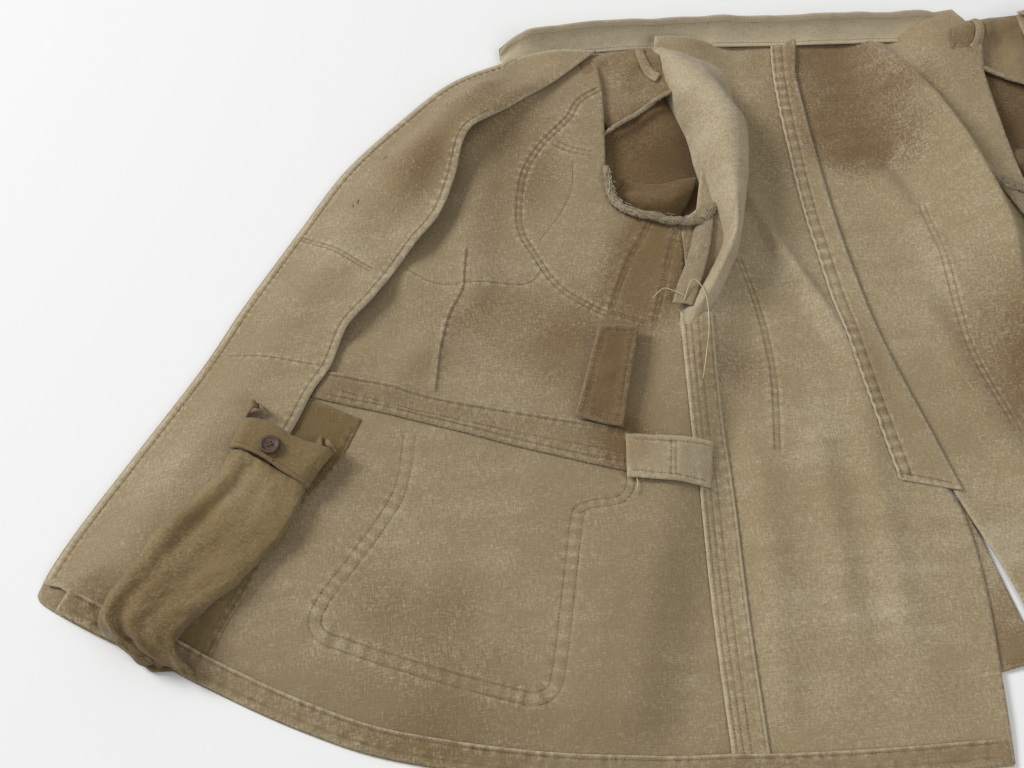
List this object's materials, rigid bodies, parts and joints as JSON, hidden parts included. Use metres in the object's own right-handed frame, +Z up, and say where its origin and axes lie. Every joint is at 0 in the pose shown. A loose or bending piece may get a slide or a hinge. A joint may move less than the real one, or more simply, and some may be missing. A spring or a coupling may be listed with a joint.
{
  "type": "canvas work jacket",
  "caption": "Open cotton canvas field jacket lying on its back with the inside up: fold-over fronts, bellows inside pockets, waist tabs, sleeves and collar.",
  "frame": {"origin": "on the floor under the middle of the opened jacket", "axes": "+X across the jacket towards the wearer's left, +Y up the centre back to the collar, +Z up, out of the jacket's inside"},
  "size_m": [1.484, 0.7653, 0.0452],
  "materials": {
    "canvas": "washed khaki cotton canvas, faded and lightly stained",
    "pocket_canvas": "darker olive cotton canvas, less faded",
    "stay_canvas": "khaki cotton canvas with corded stitching",
    "patch_canvas": "lighter, newer cotton canvas",
    "binding_tape": "frayed grey-beige cotton binding",
    "horn_button": "dark brown horn-like button, worn gloss"
  },
  "bodies": {
    "back": {"centre_back_strip": "canvas", "vent_underlay": "pocket_canvas", "right_waist_patch": "patch_canvas", "right_back_panel": "canvas", "right_side_panel": "canvas", "right_side_back_seam": "canvas", "right_back_hem": "canvas", "right_armhole_binding": "binding_tape", "left_back_panel": "canvas", "left_side_panel": "canvas", "left_side_back_seam": "canvas", "left_back_hem": "canvas", "left_armhole_binding": "binding_tape"},
    "collar": {"collar_stand": "canvas", "collar_leaf": "canvas"},
    "right_front": {"right_front_panel": "canvas", "right_facing": "canvas", "right_waist_stay": "stay_canvas", "right_front_hem": "canvas", "right_shoulder_patch": "canvas", "right_breast_pocket": "canvas", "right_lower_pocket": "canvas", "right_pocket_gusset": "pocket_canvas", "right_front_button_1": "horn_button", "right_front_button_2": "horn_button", "right_front_button_3": "horn_button", "right_front_button_4": "horn_button"},
    "right_pocket": {"right_pocket_face": "pocket_canvas", "right_pocket_band": "pocket_canvas", "right_pocket_button": "horn_button"},
    "right_tab": {"right_waist_tab": "canvas"},
    "right_sleeve": {"right_top_sleeve": "canvas", "right_under_sleeve": "canvas", "right_cuff": "canvas", "right_cuff_button": "horn_button"},
    "left_front": {"left_front_panel": "canvas", "left_facing": "canvas", "left_waist_stay": "stay_canvas", "left_front_hem": "canvas", "left_shoulder_patch": "canvas", "left_breast_pocket": "canvas", "left_lower_pocket": "canvas", "left_pocket_gusset": "pocket_canvas"},
    "left_pocket": {"left_pocket_face": "pocket_canvas", "left_pocket_band": "pocket_canvas", "left_pocket_button": "horn_button"},
    "left_tab": {"left_waist_tab": "canvas"},
    "left_sleeve": {"left_top_sleeve": "canvas", "left_under_sleeve": "canvas", "left_cuff": "canvas", "left_cuff_button": "horn_button"}
  },
  "joints": [
    {"name": "right_front_fold", "type": "hinge", "parent": "back", "child": "right_front", "pos_m": [-0.22, 0, 0.024], "axis": [0, 1, 0], "range_deg": [0, 150]},
    {"name": "left_front_fold", "type": "hinge", "parent": "back", "child": "left_front", "pos_m": [0.22, 0, 0.024], "axis": [0, 1, 0], "range_deg": [-150, 0]},
    {"name": "right_pocket_open", "type": "hinge", "parent": "right_front", "child": "right_pocket", "pos_m": [-0.6403, -0.1986, 0.028], "axis": [0.8267, -0.5627, 0], "range_deg": [0, 20]},
    {"name": "left_pocket_open", "type": "hinge", "parent": "left_front", "child": "left_pocket", "pos_m": [0.6403, -0.1986, 0.028], "axis": [0.8267, 0.5627, 0], "range_deg": [0, 20]},
    {"name": "right_tab_lift", "type": "hinge", "parent": "right_front", "child": "right_tab", "pos_m": [-0.242, 0.0315, 0.0235], "axis": [1, 0, 0], "range_deg": [-150, 0]},
    {"name": "left_tab_lift", "type": "hinge", "parent": "left_front", "child": "left_tab", "pos_m": [0.242, 0.0315, 0.0235], "axis": [-1, 0, 0], "range_deg": [0, 150]},
    {"name": "right_sleeve_swing", "type": "hinge", "parent": "back", "child": "right_sleeve", "pos_m": [-0.19, 0.33, 0.002], "axis": [0, 0, -1], "range_deg": [0, 12]},
    {"name": "left_sleeve_swing", "type": "hinge", "parent": "back", "child": "left_sleeve", "pos_m": [0.19, 0.33, 0.002], "axis": [0, 0, 1], "range_deg": [0, 12]},
    {"name": "collar_turn", "type": "hinge", "parent": "back", "child": "collar", "pos_m": [0, 0.3496, 0], "axis": [1, 0, 0], "range_deg": [0, 50]}
  ]
}
